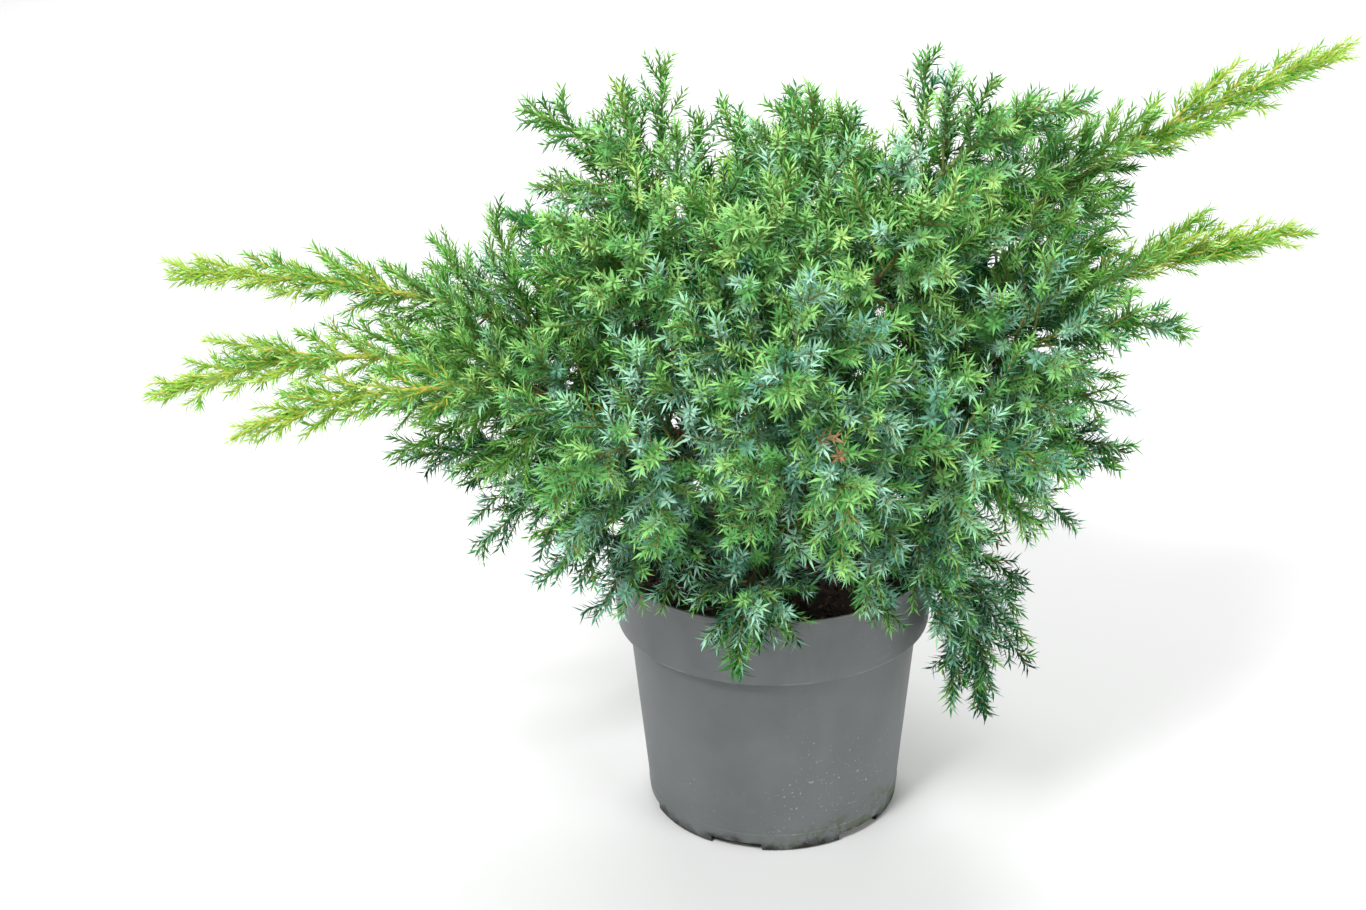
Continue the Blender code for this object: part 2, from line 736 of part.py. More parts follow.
def main():
    clear_scene()
    plant = new_collection("potted_flaky_juniper", bpy.context.scene.collection)
    cutters = new_collection("cutters", bpy.context.scene.collection, hidden=True)
    grey = new_material("pot_plastic", POT_GREY, 0.5)
    brown = new_material("potting_soil", SOIL_BROWN, 0.95)
    bark = new_material("bark", BARK_BROWN, 0.85)
    green = new_material("needles", NEEDLE_GREEN, 0.6)

    make_pot(plant, cutters, grey)
    make_soil(plant, brown)
    make_trunk(plant, bark)

    trunk_line = Spine(stations(lambda s: trunk_axis(GROUND + (TRUNK_TOP - GROUND) * s), 0, 1, 8), TRUNK_RADIUS)
    spines = {}
    limbs = [trunk_line]
    for name, limb in LIMBS.items():
        form = settings_of(limb)
        path = limb_path(limb)
        spines[name] = Spine(stations(path, form.bare, 1.0, 14), 0.0)
        if form.bare:
            points = stations(path, 0.0, form.bare, BOUGH_POINTS)
            tube("bough_" + name, points, taper(BOUGH_RADIUS, BOUGH_TIP_RADIUS, BOUGH_POINTS), 1, plant, bark)
            limbs.append(Spine(stations(path, 0.0, form.bare * 0.97, 10), BOUGH_RADIUS))
    for name, limb in LIMBS.items():
        others = [spine for key, spine in spines.items() if key != name]
        make_mass("foliage_" + name, limb, Space(spines[name], others, limbs), plant, green)


main()
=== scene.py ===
"""The looks of a low spreading juniper in its grey nursery pot.

The limbs follow the same table and the same curves as the solids. Each mass of foliage is grown again from its
limb: side branches in a spiral along the stem, finer shoots along them, and whorls of three needles on all of these.
"""

import math
import random
from collections import namedtuple

import bmesh
import bpy
import numpy as np
from mathutils import Matrix, Vector, noise


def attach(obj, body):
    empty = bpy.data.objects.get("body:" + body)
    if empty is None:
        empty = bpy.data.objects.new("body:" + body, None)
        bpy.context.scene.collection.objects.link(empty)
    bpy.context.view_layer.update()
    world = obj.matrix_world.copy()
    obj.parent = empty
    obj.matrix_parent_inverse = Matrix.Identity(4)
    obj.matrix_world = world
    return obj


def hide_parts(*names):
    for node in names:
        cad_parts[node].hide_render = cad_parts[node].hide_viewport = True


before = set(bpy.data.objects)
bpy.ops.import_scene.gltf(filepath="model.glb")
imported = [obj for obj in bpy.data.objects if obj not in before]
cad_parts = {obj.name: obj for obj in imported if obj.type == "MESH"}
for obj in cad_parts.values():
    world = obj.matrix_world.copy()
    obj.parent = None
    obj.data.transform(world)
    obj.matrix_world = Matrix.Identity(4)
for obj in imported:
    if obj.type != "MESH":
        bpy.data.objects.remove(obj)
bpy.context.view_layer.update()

# Pot, as in the solids, and what the surface adds to it
POT_HEIGHT = 0.155
RIM_RADIUS = 0.0925
BAND_HEIGHT = 0.040
BAND_FOOT_RADIUS = 0.0897
BODY_TOP_RADIUS = 0.0830
FOOT_RADIUS = 0.0727
WALL = 0.0013
LIP_BEAD = 0.0032
LIP_STEP = 0.0004
FOOT_LINE = 0.0105
FOOT_STEP = 0.00025
POT_STEPS = 144
NOTCHES = 6
NOTCH_WIDTH = 0.030
NOTCH_HEIGHT = 0.0045
NOTCH_DEPTH = 0.014
FIRST_NOTCH_AZIMUTH = 253.0

# Soil
GROUND = 0.141
SOIL_SAG = 0.004
SOIL_CLEAR = 0.0006
CHIPS_PER_AREA = 62000.0
CHIP = 0.0034

# Trunk and limbs
GAP = 0.0003
TRUNK_TOP = 0.262
TRUNK_LEAN = 0.009
FLARE_RADIUS = 0.0145
TRUNK_RADIUS = 0.0092
TRUNK_TIP_RADIUS = 0.0036
FLARE_HEIGHT = 0.022
PATH_STEPS = 48
BOUGH_RADIUS = 0.0032
BOUGH_TIP_RADIUS = 0.0024
STEM_RADIUS = 0.0023
STEM_TIP_RADIUS = 0.0008

# Growth
GOLDEN_ANGLE = math.radians(137.5)
OUTERMOST = 0.90
CORE_SWELL = (0.46, 0.84, 1.0, 0.74)
BRANCH_STEP = 0.0051
SHOOT_STEP = 0.0046
SHOOT_SPREAD = 44.0
LONGEST_BRANCH = 0.080
WHORL_STEP = 0.0020
NEEDLE_LENGTH = 0.0079
NEEDLE_WIDTH = 0.0015
NEEDLE_WIDEST = 0.32
NEEDLE_KEEL = 0.0004
MOST_TRIANGLES = 180000
WHORL_TRIANGLES = 12

# Lean of the needles from their twig in degrees, on stems and on side shoots, of the long limbs and of the rest
STEM_LEAN = {True: 34, False: 44}
SHOOT_LEAN = {True: 36, False: 50}
INNER_LEAN = 50

# Radii of the twigs at both ends, how far they keep from the pot, and the reach of the finest shoots
BRANCH_TWIG = (0.0009, 0.0005)
SHOOT_TWIG = (0.0006, 0.0004)
BRANCH_CLEAR = 0.004
SHOOT_CLEAR = 0.003
SHOOT_LEAST = 0.008
SHOOT_MOST = 0.022

Tier = namedtuple("Tier", "leave rise end pull bare twig shoots spread core core_end")
TIERS = {
    "low": Tier(0.160, 12, -32, 0.38, 0.36, 0.028, 8, 40, 0.030, 0.74),
    "mid": Tier(0.187, 30, 4, 0.38, 0.30, 0.030, 8, 40, 0.035, 0.72),
    "long": Tier(0.199, 36, 0, 0.38, 0.26, 0.038, 9, 40, 0.030, 0.52),
    "top": Tier(0.226, 60, 34, 0.38, 0.26, 0.029, 8, 40, 0.033, 0.74),
}

# tier, azimuth in degrees from +X, reach and height of the tip, and what departs from the tier
Limb = namedtuple("Limb", "tier azimuth reach height change")
LIMBS = {
    "low_front": Limb(
        "low", 262, 0.132, 0.148, {"rise": 34, "end": -62, "leave": 0.168, "core": 0.017}
    ),
    "low_front_right": Limb("low", 304, 0.166, 0.206, {"rise": 16, "end": -40}),
    "hanging_right": Limb(
        "low",
        343,
        0.125,
        0.070,
        {"rise": 46, "end": -80, "pull": 0.66, "bare": 0.36, "shoots": 11, "core": 0.036},
    ),
    "low_right": Limb("low", 338, 0.196, 0.244, {"rise": 24, "end": -12, "leave": 0.178, "core": 0.032}),
    "low_back_right": Limb("low", 44, 0.172, 0.180, {"core": 0.034}),
    "low_back_left": Limb("low", 128, 0.180, 0.190, {"core": 0.036}),
    "low_left": Limb("low", 188, 0.196, 0.222, {"rise": 20, "end": -12, "leave": 0.170}),
    "low_front_left": Limb("low", 226, 0.166, 0.218, {"rise": 18, "end": -22}),
    "left_front": Limb("long", 203, 0.285, 0.270, {"end": -16}),
    "left": Limb("long", 190, 0.328, 0.268, {"end": -20, "pull": 0.40, "leave": 0.181}),
    "left_back": Limb("long", 180, 0.322, 0.318, {"leave": 0.212}),
    "right": Limb("long", 353, 0.274, 0.350, {"end": 8, "leave": 0.206}),
    "back": Limb("long", 96, 0.262, 0.315, {"end": -4, "leave": 0.206}),
    "upper_right": Limb("long", 5, 0.303, 0.432, {"rise": 52, "end": 20, "leave": 0.228}),
    "front_left": Limb("mid", 240, 0.205, 0.262, {"end": -24, "core": 0.038}),
    "front": Limb("mid", 280, 0.202, 0.262, {"end": -24, "leave": 0.195, "core": 0.038}),
    "front_right": Limb("mid", 314, 0.206, 0.262, {"end": -14}),
    "front_upper": Limb("mid", 272, 0.186, 0.320, {"rise": 42, "end": 2, "leave": 0.212, "core": 0.040}),
    "right_front": Limb("mid", 335, 0.226, 0.318, {"end": -4, "leave": 0.196}),
    "right_back": Limb("mid", 24, 0.224, 0.336, {"leave": 0.196}),
    "back_right": Limb("mid", 62, 0.232, 0.300, {}),
    "back_left": Limb("mid", 134, 0.240, 0.304, {"leave": 0.192}),
    "top_left": Limb("top", 168, 0.136, 0.400, {"rise": 66, "end": 16, "leave": 0.234, "core": 0.036}),
    "top_front_left": Limb("top", 212, 0.132, 0.368, {}),
    "top_front": Limb("top", 262, 0.110, 0.378, {"leave": 0.240}),
    "top_front_right": Limb("top", 312, 0.138, 0.388, {"leave": 0.226}),
    "top_right": Limb("top", 352, 0.162, 0.416, {"rise": 68, "end": 12, "leave": 0.240}),
    "top_back": Limb("top", 84, 0.116, 0.390, {}),
    "leader": Limb("top", 350, 0.022, 0.416, {"bare": 0.0, "end": 86}),
}

# How much the side branches of each tier turn up (or down) towards their tips, and how young its shoots are
LIFT = {"low": -0.22, "mid": 0.0, "long": 0.04, "top": 0.0}
YOUTH = {"low": -0.10, "mid": 0.02, "long": 0.22, "top": 0.18}

# Limbs whose side branches stand closer than the rest, as shares of the usual step
CLOSER = {
    "hanging_right": 0.56,
    "low_front": 0.56,
    "low_front_left": 0.72,
    "low_front_right": 0.72,
    "low_back_right": 0.60,
    "low_back_left": 0.60,
    "front": 0.84,
    "front_upper": 0.84,
    "top_left": 0.86,
    "top_front_left": 0.78,
    "top_front": 0.84,
}

# Limbs whose side branches hang more than those of their tier
DROOP = {
    "hanging_right": -0.50,
    "low_front": -0.25,
    "low_front_right": -0.30,
    "low_front_left": -0.35,
    "low_back_right": -0.40,
    "low_back_left": -0.40,
    "back": -0.50,
    "back_right": -0.34,
    "back_left": -0.34,
}

# How much the side branches of these shorten towards the tip
TAPER = {"hanging_right": 0.48, "low_front": 0.45}

# Needle tints from the oldest to the youngest: the green outer faces, and the pale inner face. The deep tint is the
# dark green of old needles, made darker still as painted shade for the inside of the crown
TINTS = {
    "deep": ((0.007, 0.060, 0.016), (0.06, 0.22, 0.12)),
    "blue": ((0.018, 0.115, 0.043), (0.16, 0.41, 0.28)),
    "silver": ((0.048, 0.205, 0.095), (0.36, 0.66, 0.50)),
    "green": ((0.024, 0.170, 0.017), (0.12, 0.38, 0.10)),
    "mint": ((0.080, 0.320, 0.085), (0.31, 0.64, 0.36)),
    "fresh": ((0.105, 0.380, 0.038), (0.26, 0.58, 0.17)),
    "bright": ((0.165, 0.450, 0.050), (0.35, 0.66, 0.21)),
    "yellow_green": ((0.290, 0.550, 0.065), (0.46, 0.72, 0.22)),
    "lime": ((0.440, 0.680, 0.100), (0.60, 0.82, 0.30)),
    "dead": ((0.260, 0.120, 0.045), (0.34, 0.21, 0.11)),
}
YOUNGER = {
    "deep": "green",
    "blue": "silver",
    "silver": "mint",
    "green": "fresh",
    "mint": "fresh",
    "fresh": "bright",
    "bright": "yellow_green",
    "yellow_green": "lime",
    "lime": "lime",
    "dead": "dead",
}
PLAIN_SHINE = 0.18
DEAD_SPOTS = ((Vector((0.127, -0.060, 0.176)), 0.014), (Vector((0.031, -0.170, 0.290)), 0.009))


# Node trees


class Value:
    """A socket's value. Sums of such values add their Math nodes."""

    def __init__(self, graph, socket):
        self.graph = graph
        self.socket = socket

    def worked(self, operation, *terms):
        return self.graph.add("ShaderNodeMath", {"operation": operation}, dict(enumerate(terms)))

    def __add__(self, other):
        return self.worked("ADD", self, other)

    __radd__ = __add__

    def __sub__(self, other):
        return self.worked("SUBTRACT", self, other)

    def __rsub__(self, other):
        return self.worked("SUBTRACT", other, self)

    def __mul__(self, other):
        return self.worked("MULTIPLY", self, other)

    __rmul__ = __mul__

    def fade(self, low, high):
        """0 at low and 1 at high, with soft ends."""
        return self.graph.add(
            "ShaderNodeMapRange",
            {"interpolation_type": "SMOOTHSTEP"},
            {"Value": self, "From Min": low, "From Max": high},
        )


class Graph:
    """Adds nodes to a tree."""

    def __init__(self, tree):
        self.tree = tree

    def add(self, kind, settings=None, values=None, out=0):
        node = self.tree.nodes.new(kind)
        for key, setting in (settings or {}).items():
            setattr(node, key, setting)
        for key, value in (values or {}).items():
            self.feed(node.inputs[key], value)
        return Value(self, node.outputs[out])

    def feed(self, socket, value):
        if isinstance(value, Value):
            self.tree.links.new(value.socket, socket)
        elif socket.type == "RGBA" and len(value) == 3:
            socket.default_value = (*value, 1.0)
        else:
            socket.default_value = value

    def place(self):
        return self.add("ShaderNodeTexCoord", out="Object")

    def stretched(self, vector, scale):
        return self.add("ShaderNodeVectorMath", {"operation": "MULTIPLY"}, {0: vector, 1: scale})

    def grain(self, vector, scale, detail=4.0, roughness=0.6):
        return self.add(
            "ShaderNodeTexNoise",
            {},
            {"Vector": vector, "Scale": scale, "Detail": detail, "Roughness": roughness},
        )

    def mixed(self, factor, first, second):
        return self.add("ShaderNodeMix", {"data_type": "RGBA"}, {0: factor, 6: first, 7: second}, out=2)

    def relief(self, height, strength, distance):
        return self.add("ShaderNodeBump", {}, {"Strength": strength, "Distance": distance, "Height": height})


def new_material(name, roughness):
    made = bpy.data.materials.new(name)
    made.use_nodes = True
    shader = made.node_tree.nodes["Principled BSDF"]
    shader.inputs["Roughness"].default_value = roughness
    return made, Graph(made.node_tree), shader


def plain_material(name, colour, roughness):
    """One colour all over, for pieces that get their variety by having many of them."""
    made, graph, shader = new_material(name, roughness)
    graph.feed(shader.inputs["Base Color"], colour)
    graph.feed(shader.inputs["Specular IOR Level"], PLAIN_SHINE)
    return made


def pot_plastic():
    """Grey moulded plastic: clouded, scuffed and specked, with a green film and darkening towards its foot, and
    painted highlights along the band's foot and the lip's edge.
    """
    made, graph, shader = new_material("pot_plastic", 0.5)
    place = graph.place()
    x, _, height = (graph.add("ShaderNodeSeparateXYZ", {}, {0: place}, out=axis) for axis in range(3))
    clouds = graph.grain(place, 13.0, 5.0)
    streaks = graph.grain(graph.stretched(place, (34.0, 34.0, 5.0)), 1.0, 5.0)
    specks = graph.grain(place, 560.0, 2.0).fade(0.66, 0.71)
    scuffs = graph.grain(graph.stretched(place, (60.0, 60.0, 420.0)), 1.0, 3.0).fade(0.63, 0.76)
    rubbed = graph.grain(place, 9.0, 3.0).fade(0.46, 0.64)
    edge = graph.grain(place, 55.0, 5.0)
    crust = graph.grain(place, 150.0, 5.0).fade(0.44, 0.54)
    # Near black towards the bottom of the pot, with rougher, bumpier skin there
    foot = 1 - (height + (edge - 0.5) * 0.022).fade(0.0014, 0.0080)
    film = (1 - (height + (edge - 0.5) * 0.044).fade(0.001, 0.022)) * x.fade(-0.03, 0.05) * crust
    # Painted highlight: thin lighter lines along the foot of the band and along the lip's edge, where light catches
    # the edges
    painted_edge_highlight = height.fade(0.1140, 0.1153) * (1 - height.fade(0.1156, 0.1170)) + height.fade(0.1536, 0.1550)
    base = graph.mixed(clouds.fade(0.3, 0.7), (0.105, 0.116, 0.119), (0.136, 0.149, 0.151))
    base = graph.mixed(streaks.fade(0.50, 0.80) * 0.40, base, (0.175, 0.185, 0.180))
    base = graph.mixed(scuffs * rubbed * 0.55, base, (0.26, 0.27, 0.265))
    base = graph.mixed(specks * rubbed * 0.8, base, (0.42, 0.42, 0.39))
    # The painted highlight along the band's foot and the lip, broken up by noise
    base = graph.mixed(painted_edge_highlight * edge.fade(0.42, 0.62) * 0.45, base, (0.30, 0.31, 0.30))
    base = graph.mixed(film * 0.92, base, (0.046, 0.075, 0.012))
    base = graph.mixed(foot * (0.60 + crust * 0.40), base, (0.014, 0.012, 0.008))
    graph.feed(shader.inputs["Base Color"], base)
    graph.feed(shader.inputs["Roughness"], 0.42 + clouds * 0.14 + foot * 0.35 + scuffs * 0.12)
    skin = graph.grain(place, 900.0, 2.0) * 0.3 + streaks * 0.25 + foot * edge * 0.9
    graph.feed(shader.inputs["Normal"], graph.relief(skin, 0.35, 0.0006))
    return made


def soil_material():
    """Damp compost: near black, with brown crumbs."""
    made, graph, shader = new_material("potting_soil", 0.9)
    place = graph.place()
    lumps = graph.grain(place, 190.0, 6.0, 0.7)
    crumbs = graph.grain(place, 620.0, 3.0)
    base = graph.mixed(lumps.fade(0.38, 0.68), (0.010, 0.006, 0.004), (0.055, 0.028, 0.014))
    base = graph.mixed(crumbs.fade(0.60, 0.72) * 0.6, base, (0.13, 0.070, 0.032))
    graph.feed(shader.inputs["Base Color"], base)
    graph.feed(shader.inputs["Roughness"], 0.72 + lumps * 0.25)
    graph.feed(shader.inputs["Normal"], graph.relief(lumps + crumbs * 0.4, 0.9, 0.0015))
    return made


def bark_material(name, dark, light):
    """Fibrous bark that runs with the wood, with pale flakes."""
    made, graph, shader = new_material(name, 0.8)
    place = graph.place()
    fibres = graph.grain(graph.stretched(place, (700.0, 700.0, 90.0)), 1.0, 5.0)
    patches = graph.grain(place, 80.0, 4.0)
    base = graph.mixed(fibres.fade(0.36, 0.66), dark, light)
    base = graph.mixed(patches.fade(0.55, 0.75) * 0.5, base, (0.30, 0.24, 0.18))
    graph.feed(shader.inputs["Base Color"], base)
    graph.feed(shader.inputs["Roughness"], 0.68 + patches * 0.25)
    graph.feed(shader.inputs["Normal"], graph.relief(fibres + patches * 0.5, 0.8, 0.0010))
    return made


def floor_material():
    made, graph, shader = new_material("studio_floor", 0.9)
    haze = graph.grain(graph.place(), 1.3, 2.0)
    graph.feed(shader.inputs["Base Color"], graph.mixed(haze, (0.70, 0.70, 0.70), (0.74, 0.74, 0.74)))
    return made


# Geometry trees


def new_tree(name, sockets):
    """A geometry tree with a mesh first, then these named inputs. It returns the graph and its input values."""
    tree = bpy.data.node_groups.new(name, "GeometryNodeTree")
    tree.interface.new_socket("Geometry", in_out="OUTPUT", socket_type="NodeSocketGeometry")
    tree.interface.new_socket("Base", in_out="INPUT", socket_type="NodeSocketGeometry")
    for title, kind in sockets.items():
        tree.interface.new_socket(title, in_out="INPUT", socket_type="NodeSocket" + kind)
    graph = Graph(tree)
    node = tree.nodes.new("NodeGroupInput")
    given = {title: Value(graph, node.outputs[title]) for title in ["Base", *sockets]}
    return graph, given


def end_tree(graph, geometry, dressings):
    """Closes a tree: the instances made real, then a material for all of it or for the faces of an attribute."""
    geometry = graph.add("GeometryNodeRealizeInstances", {}, {0: geometry})
    for material, chosen in dressings:
        values = {"Geometry": geometry, "Material": material}
        if chosen:
            values["Selection"] = graph.add(
                "GeometryNodeInputNamedAttribute", {"data_type": "BOOLEAN"}, {"Name": chosen}
            )
        geometry = graph.add("GeometryNodeSetMaterial", {}, values)
    node = graph.tree.nodes.new("NodeGroupOutput")
    graph.feed(node.inputs[0], geometry)
    return graph.tree


def named(graph, name):
    return graph.add("GeometryNodeInputNamedAttribute", {"data_type": "FLOAT"}, {"Name": name})


def turned_by(graph, vector, angle):
    """A rotation that stands +Z along the vector and then turns about it."""
    stood = graph.add("FunctionNodeAlignRotationToVector", {"axis": "Z"}, {"Vector": vector})
    turn = graph.add("FunctionNodeAxisAngleToRotation", {}, {"Axis": (0.0, 0.0, 1.0), "Angle": angle})
    return graph.add(
        "FunctionNodeRotateRotation", {"rotation_space": "LOCAL"}, {"Rotation": stood, "Rotate By": turn}
    )


def chance(graph, low, high, seed):
    return graph.add(
        "FunctionNodeRandomValue", {"data_type": "FLOAT"}, {2: low, 3: high, "Seed": seed}, out=1
    )


def needle_tree():
    """Whorls of needles at even steps along shoots, each whorl turned half a gap from the last."""
    graph, given = new_tree(
        "needles_along_shoots",
        {
            "Whorl": "Object",
            "Step": "Float",
            "Turn": "Float",
            "Seed": "Int",
            "Outer": "Material",
            "Inner": "Material",
        },
    )
    curves = graph.add("GeometryNodeMeshToCurve", {}, {0: given["Base"]})
    node = graph.tree.nodes.new("GeometryNodeCurveToPoints")
    node.mode = "LENGTH"
    graph.feed(node.inputs["Curve"], curves)
    graph.feed(node.inputs["Length"], given["Step"])
    points = Value(graph, node.outputs["Points"])
    along = Value(graph, node.outputs["Tangent"])
    number = graph.add("GeometryNodeInputIndex")
    angle = number * given["Turn"] + chance(graph, -0.35, 0.35, given["Seed"])
    size = chance(graph, 0.82, 1.12, given["Seed"] + 1)
    wide = named(graph, "wide") * size
    scale = graph.add("ShaderNodeCombineXYZ", {}, {0: wide, 1: wide, 2: named(graph, "tall") * size})
    whorl = graph.add("GeometryNodeObjectInfo", {}, {"Object": given["Whorl"]}, out="Geometry")
    spread = graph.add(
        "GeometryNodeInstanceOnPoints",
        {},
        {"Points": points, "Instance": whorl, "Rotation": turned_by(graph, along, angle), "Scale": scale},
    )
    return end_tree(graph, spread, [(given["Outer"], None), (given["Inner"], "inner")])


def twig_tree():
    """Thin round twigs along shoots, as thick as their attribute says."""
    graph, given = new_tree("twigs_along_shoots", {"Sides": "Int", "Wood": "Material"})
    curves = graph.add("GeometryNodeMeshToCurve", {}, {0: given["Base"]})
    ring = graph.add(
        "GeometryNodeCurvePrimitiveCircle", {"mode": "RADIUS"}, {"Resolution": given["Sides"], "Radius": 1.0}
    )
    tubes = graph.add(
        "GeometryNodeCurveToMesh",
        {},
        {"Curve": curves, "Profile Curve": ring, "Scale": named(graph, "thick"), "Fill Caps": True},
    )
    return end_tree(graph, tubes, [(given["Wood"], None)])


def chip_tree():
    """Chips of bark strewn over the soil's top."""
    graph, given = new_tree(
        "chips_on_soil",
        {"Chip": "Object", "Density": "Float", "Least": "Float", "Most": "Float", "Seed": "Int", "Skin": "Material"},
    )
    node = graph.tree.nodes.new("GeometryNodeDistributePointsOnFaces")
    graph.feed(node.inputs["Mesh"], given["Base"])
    graph.feed(node.inputs["Density"], given["Density"])
    graph.feed(node.inputs["Seed"], given["Seed"])
    points = Value(graph, node.outputs["Points"])
    tilt = graph.add(
        "FunctionNodeRandomValue",
        {"data_type": "FLOAT_VECTOR"},
        {0: (-0.7, -0.7, 0.0), 1: (0.7, 0.7, math.tau), "Seed": given["Seed"]},
    )
    chip = graph.add("GeometryNodeObjectInfo", {}, {"Object": given["Chip"]}, out="Geometry")
    size = chance(graph, given["Least"], given["Most"], given["Seed"] + 1)
    strewn = graph.add(
        "GeometryNodeInstanceOnPoints",
        {},
        {"Points": points, "Instance": chip, "Rotation": tilt, "Scale": size},
    )
    return end_tree(graph, strewn, [(given["Skin"], None)])


def add_object(name, mesh, *materials):
    obj = bpy.data.objects.new(name, mesh)
    for material in materials:
        mesh.materials.append(material)
    bpy.context.scene.collection.objects.link(obj)
    return obj


def made_plain(obj):
    """Swaps an object's mesh for what its modifiers make of it, and removes them."""
    graph = bpy.context.evaluated_depsgraph_get()
    mesh = bpy.data.meshes.new_from_object(obj.evaluated_get(graph))
    obj.modifiers.clear()
    obj.data = mesh
    mesh.name = obj.name
    used = np.zeros(len(mesh.polygons), dtype=np.int32)
    mesh.polygons.foreach_get("material_index", used)
    for empty in [i for i, material in enumerate(mesh.materials) if material is None][::-1]:
        mesh.materials.pop(index=empty)
        used[used > empty] -= 1
    mesh.polygons.foreach_set("material_index", used)
    return obj


def grown(obj, tree, values):
    """Runs a geometry tree on an object with these inputs, and keeps the plain mesh."""
    modifier = obj.modifiers.new(tree.name, "NODES")
    modifier.node_group = tree
    for item in tree.interface.items_tree:
        if item.item_type == "SOCKET" and item.in_out == "INPUT" and item.name in values:
            modifier[item.identifier] = values[item.name]
    return made_plain(obj)


def set_attribute(mesh, name, kind, domain, values):
    attribute = mesh.attributes.new(name, kind, domain)
    attribute.data.foreach_set("value", values)


# Pot and soil


def body_radius(height):
    return FOOT_RADIUS + (BODY_TOP_RADIUS - FOOT_RADIUS) * height / (POT_HEIGHT - BAND_HEIGHT)


def band_radius(height):
    above = height - (POT_HEIGHT - BAND_HEIGHT)
    return BAND_FOOT_RADIUS + (RIM_RADIUS - BAND_FOOT_RADIUS) * above / BAND_HEIGHT


def rounded(corners, steps=5):
    """Profile points, with each corner (radius, height, rounding) eased by its rounding."""
    points = []
    for i, (radius, height, ease) in enumerate(corners):
        here = Vector((radius, height))
        if not ease:
            points.append(here)
            continue
        before = (Vector(corners[i - 1][:2]) - here).normalized() * ease
        after = (Vector(corners[i + 1][:2]) - here).normalized() * ease
        for step in range(steps):
            share = step / (steps - 1)
            points.append(here + before * (1 - share) ** 2 + after * share**2)
    return points


def turned(name, profile, steps, material):
    mesh = bpy.data.meshes.new(name)
    points = [(radius, 0.0, height) for radius, height in profile]
    mesh.from_pydata(points, [(i, i + 1) for i in range(len(points) - 1)], [])
    obj = add_object(name, mesh, material)
    screw = obj.modifiers.new("Turn", "SCREW")
    screw.axis = "Z"
    screw.steps = screw.render_steps = steps
    screw.use_merge_vertices = True
    screw.merge_threshold = 0.00002
    screw.use_smooth_shade = True
    return obj


def notch_blocks():
    below = 0.004
    cutter = bmesh.new()
    for number in range(NOTCHES):
        azimuth = math.radians(FIRST_NOTCH_AZIMUTH + 360.0 * number / NOTCHES)
        made = bmesh.ops.create_cube(cutter, size=1.0)["verts"]
        bmesh.ops.scale(cutter, verts=made, vec=(NOTCH_DEPTH, NOTCH_WIDTH, NOTCH_HEIGHT + below))
        bmesh.ops.translate(cutter, verts=made, vec=(FOOT_RADIUS, 0.0, (NOTCH_HEIGHT - below) / 2))
        bmesh.ops.rotate(cutter, verts=made, cent=(0, 0, 0), matrix=Matrix.Rotation(azimuth, 3, "Z"))
    mesh = bpy.data.meshes.new("notch_blocks")
    cutter.to_mesh(mesh)
    cutter.free()
    return add_object("notch_blocks", mesh)


def make_pot(material):
    """The nursery pot with its lip bead, stepped band and foot line."""
    shoulder = POT_HEIGHT - BAND_HEIGHT
    bead = POT_HEIGHT - LIP_BEAD
    corners = [
        (0.0, WALL, 0.0),
        (body_radius(WALL) - WALL, WALL, 0.0016),
        (body_radius(shoulder) - WALL, shoulder + WALL * 0.4, 0.0008),
        (band_radius(shoulder) - WALL, shoulder + WALL, 0.0012),
        (band_radius(POT_HEIGHT) - WALL, POT_HEIGHT, 0.0004),
        (band_radius(POT_HEIGHT), POT_HEIGHT, 0.0005),
        (band_radius(bead), bead, 0.0004),
        (band_radius(bead) - LIP_STEP, bead - LIP_STEP, 0.0003),
        (band_radius(shoulder) - LIP_STEP, shoulder, 0.0014),
        (body_radius(shoulder), shoulder + 0.0002, 0.0008),
        (body_radius(FOOT_LINE), FOOT_LINE + 0.0004, 0.0002),
        (body_radius(FOOT_LINE) + FOOT_STEP, FOOT_LINE, 0.0002),
        (body_radius(0.0) + FOOT_STEP, 0.0, 0.0016),
        (0.0, 0.0, 0.0),
    ]
    pot = turned("nursery_pot", rounded(corners), POT_STEPS, material)
    blocks = notch_blocks()
    cut = pot.modifiers.new("Drainage notches", "BOOLEAN")
    cut.operation = "DIFFERENCE"
    cut.object = blocks
    made_plain(pot)
    bpy.data.objects.remove(blocks, do_unlink=True)
    pot.data.set_sharp_from_angle(angle=math.radians(38))
    return pot


def make_soil(material):
    """The compost: lumpy on top, with low heaps, down to the pot's floor."""
    shoulder = POT_HEIGHT - BAND_HEIGHT
    clear = WALL + SOIL_CLEAR
    rim = band_radius(GROUND - SOIL_SAG) - clear
    rings = 56
    profile = [(rim * i / rings, GROUND - SOIL_SAG * (i / rings) ** 2) for i in range(rings + 1)]
    profile += [
        (band_radius(shoulder) - clear - 0.0016, shoulder + 0.0040),
        (body_radius(shoulder) - clear, shoulder + 0.0006),
        (body_radius(NOTCH_HEIGHT) - clear, NOTCH_HEIGHT + GAP),
        (body_radius(WALL) - clear - 0.0012, WALL + 0.0008),
        (body_radius(WALL) - clear - 0.0030, WALL + GAP),
        (0.0, WALL + GAP),
    ]
    soil = made_plain(turned("compost", profile, 110, material))
    for vert in soil.data.vertices:
        if vert.co.z > GROUND - SOIL_SAG - 0.0005:
            reach = math.hypot(vert.co.x, vert.co.y)
            share = min(1.0, max(0.0, (rim - reach) / 0.006))
            rough = noise.fractal(vert.co * 260.0, 0.6, 2.1, 4) * 0.0011 + noise.noise(vert.co * 45.0) * 0.0016
            vert.co.z += rough * share
    return soil


